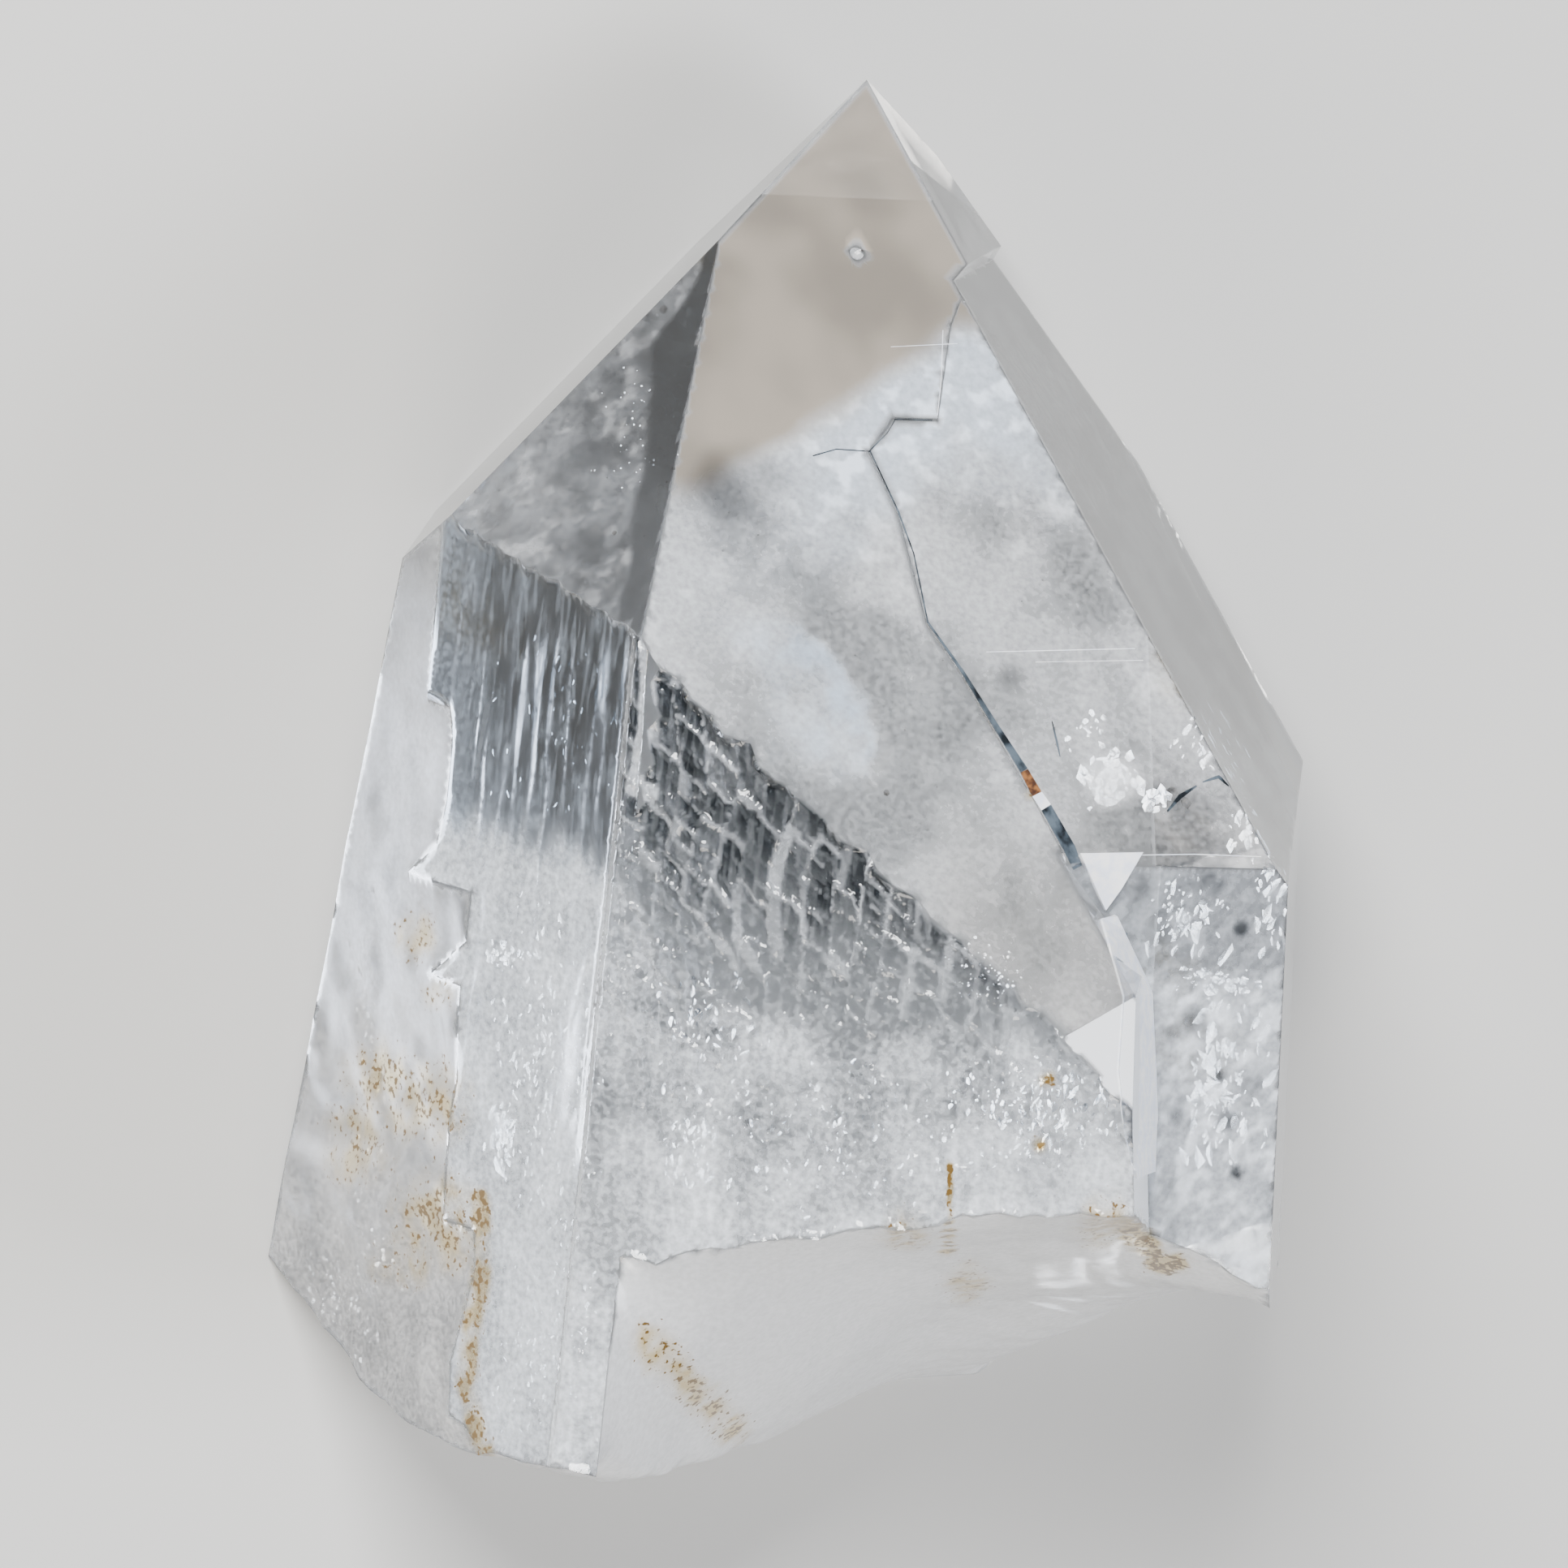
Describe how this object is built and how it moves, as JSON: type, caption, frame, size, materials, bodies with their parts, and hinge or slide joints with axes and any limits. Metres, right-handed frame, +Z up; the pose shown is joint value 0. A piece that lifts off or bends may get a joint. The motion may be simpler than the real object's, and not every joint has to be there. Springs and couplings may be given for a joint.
{
  "type": "alpine quartz point",
  "caption": "Loose clear quartz crystal with a six sided prism, a steep faceted tip, a stepped front face and a broken base, lying on its flat back face.",
  "frame": {"origin": "centre of the object's footprint, on the surface that it rests on", "axes": "+Y along the crystal's long axis towards the tip, +Z up from the flat back face it rests on, +X to the right of the main tip face"},
  "size_m": [0.0516, 0.072, 0.0443],
  "materials": {
    "clear_quartz": "glossy growth faces, frosted ribs and a smooth broken base"
  },
  "bodies": {
    "root": {"quartz_point": "clear_quartz"}
  },
  "joints": []
}
